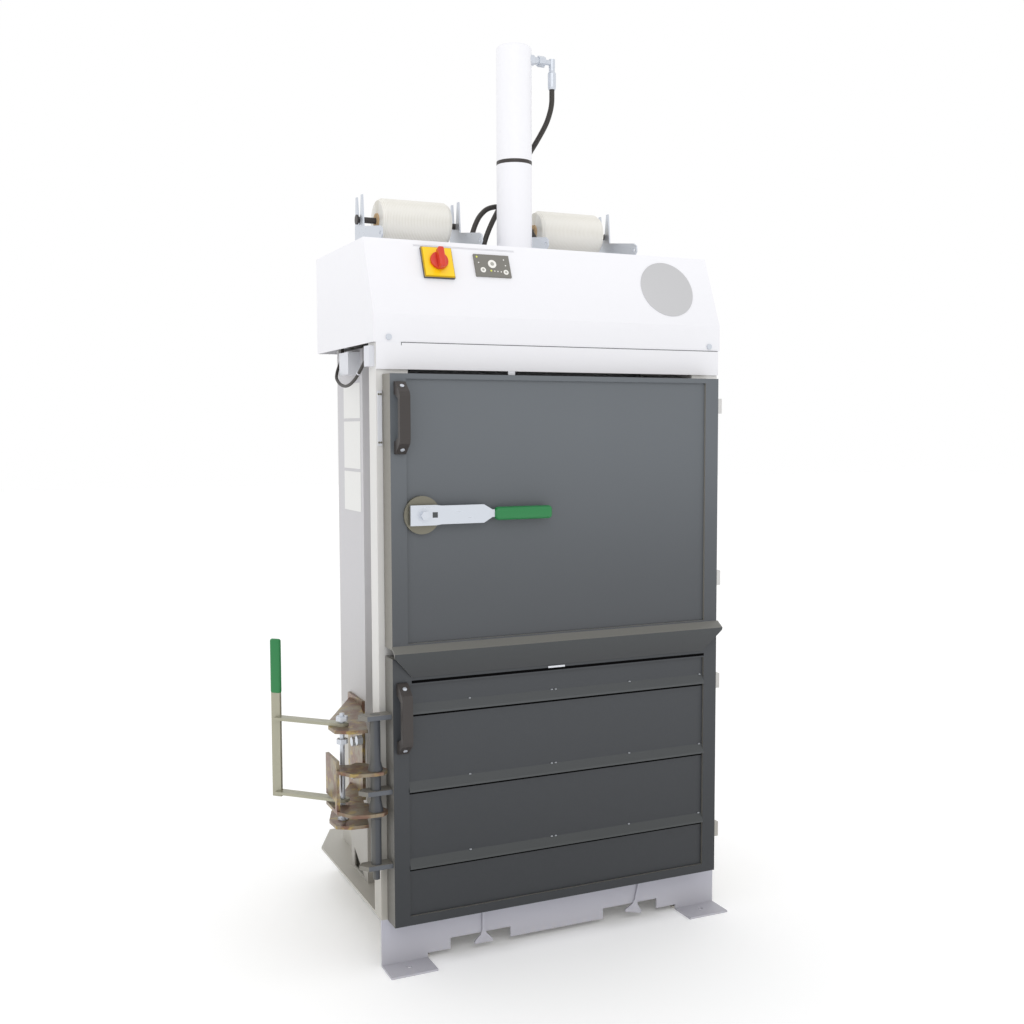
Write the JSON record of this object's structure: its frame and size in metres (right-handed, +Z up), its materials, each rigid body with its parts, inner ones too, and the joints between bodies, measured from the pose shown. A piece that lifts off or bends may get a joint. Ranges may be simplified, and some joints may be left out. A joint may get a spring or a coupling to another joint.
{
  "type": "recycling baler",
  "caption": "Vertical hydraulic recycling baler with two side-hinged front doors, claw lock, press ram under a sheet hood, twine rolls on top and floor anchor feet.",
  "frame": {"origin": "on the floor, midway between the anchor holes of the two front feet", "axes": "+Z up, -Y towards the doors and the operator, +X to the operator's right"},
  "size_m": [1.2005, 0.8496, 2.309],
  "materials": {
    "painted_white": "off-white powder coat, fine texture",
    "painted_door": "blue-grey powder coat, satin",
    "zinc": "bright to yellow zinc plating",
    "steel": "hard chrome piston rod",
    "bare_steel": "plain steel plate",
    "black_plastic": "moulded black plastic, fine grain",
    "white_plastic": "moulded white plastic",
    "black_steel": "black finished steel rod",
    "green_plastic": "dipped green vinyl",
    "yellow_plastic": "yellow escutcheon plate",
    "red_plastic": "red moulded knob",
    "keypad_foil": "grey foil keypad",
    "twine": "wound white polyester twine on a card core",
    "rubber": "black hydraulic hose cover",
    "label": "blank white foil plate"
  },
  "bodies": {
    "frame": {"base_deck": "painted_white", "crosshead_beam": "painted_white", "cylinder_flange": "painted_white", "cylinder_gland": "bare_steel", "cylinder_tube": "painted_white", "door_switch": "white_plastic", "door_switch_cable": "rubber", "floor_plate": "bare_steel", "frame_fasteners": "zinc", "front_sill": "painted_white", "header_panel": "painted_white", "hinge_posts": "painted_white", "hood": "painted_white", "hose_fitting": "zinc", "keypad": "keypad_foil", "left_column": "painted_white", "left_front_post": "painted_white", "left_side_wall": "painted_white", "lever_pivot_bolt": "zinc", "lock_bracket": "zinc", "oil_tank": "painted_white", "pressure_hose": "rubber", "pump_motor": "black_plastic", "rating_plates": "label", "rear_sill": "painted_white", "rear_wall": "painted_white", "return_hose": "rubber", "right_column": "painted_white", "right_front_post": "painted_white", "right_side_wall": "painted_white", "strap_hooks": "painted_white", "switch_base": "yellow_plastic", "twine_brackets": "zinc", "twine_rods": "black_steel", "under_rails": "painted_white", "valve_block": "bare_steel"},
    "ram": {"piston_rod": "steel", "press_plate": "bare_steel", "press_plate_ribs": "bare_steel"},
    "lower_door": {"lower_door_frame": "painted_door", "lower_door_sheets": "painted_door", "lower_door_ribs": "painted_door", "lower_door_handle": "black_plastic", "lower_hinge_arms": "painted_white", "door_bar": "painted_door", "door_bar_tabs": "painted_door"},
    "upper_door": {"upper_door_frame": "painted_door", "upper_door_sheets": "painted_door", "upper_door_lip": "painted_door", "upper_door_handle": "black_plastic", "upper_hinge_arms": "painted_white", "latch_disc": "zinc"},
    "latch": {"latch_lever": "zinc", "latch_grip": "green_plastic"},
    "claw": {"lock_claw": "zinc"},
    "lock_lever": {"lock_lever": "zinc", "lock_lever_grip": "green_plastic"},
    "switch_knob": {"switch_knob": "red_plastic"},
    "left_roll": {"left_twine_roll": "twine"},
    "right_roll": {"right_twine_roll": "twine"}
  },
  "joints": [
    {"name": "ram_slide", "type": "slide", "parent": "frame", "child": "ram", "axis": [0, 0, -1], "range_m": [0, 0.59]},
    {"name": "lower_door_hinge", "type": "hinge", "parent": "frame", "child": "lower_door", "pos_m": [0.493, 0.099, 0.4], "axis": [0, 0, 1], "range_deg": [0, 100]},
    {"name": "upper_door_hinge", "type": "hinge", "parent": "lower_door", "child": "upper_door", "pos_m": [0.493, 0.099, 1.1], "axis": [0, 0, 1], "range_deg": [0, 90]},
    {"name": "latch_turn", "type": "hinge", "parent": "upper_door", "child": "latch", "pos_m": [-0.385, -0.038, 1.1], "axis": [0, -1, 0], "range_deg": [0, 90]},
    {"name": "claw_swing", "type": "hinge", "parent": "lower_door", "child": "claw", "pos_m": [-0.496, 0.001, 0.445], "axis": [0, 0, 1], "range_deg": [0, 70]},
    {"name": "lock_lever_turn", "type": "hinge", "parent": "frame", "child": "lock_lever", "pos_m": [-0.55, 0.091, 0.48], "axis": [0, 0, 1], "range_deg": [0, 80]},
    {"name": "switch_turn", "type": "hinge", "parent": "frame", "child": "switch_knob", "pos_m": [-0.302, 0.07832, 1.7], "axis": [0, -0.9292, 0.3697], "range_deg": [0, 90]},
    {"name": "left_roll_spin", "type": "hinge", "parent": "frame", "child": "left_roll", "pos_m": [-0.2375, 0.439, 1.857], "axis": [1, 0, 0], "continuous": true},
    {"name": "right_roll_spin", "type": "hinge", "parent": "frame", "child": "right_roll", "pos_m": [0.2275, 0.439, 1.857], "axis": [1, 0, 0], "continuous": true}
  ]
}
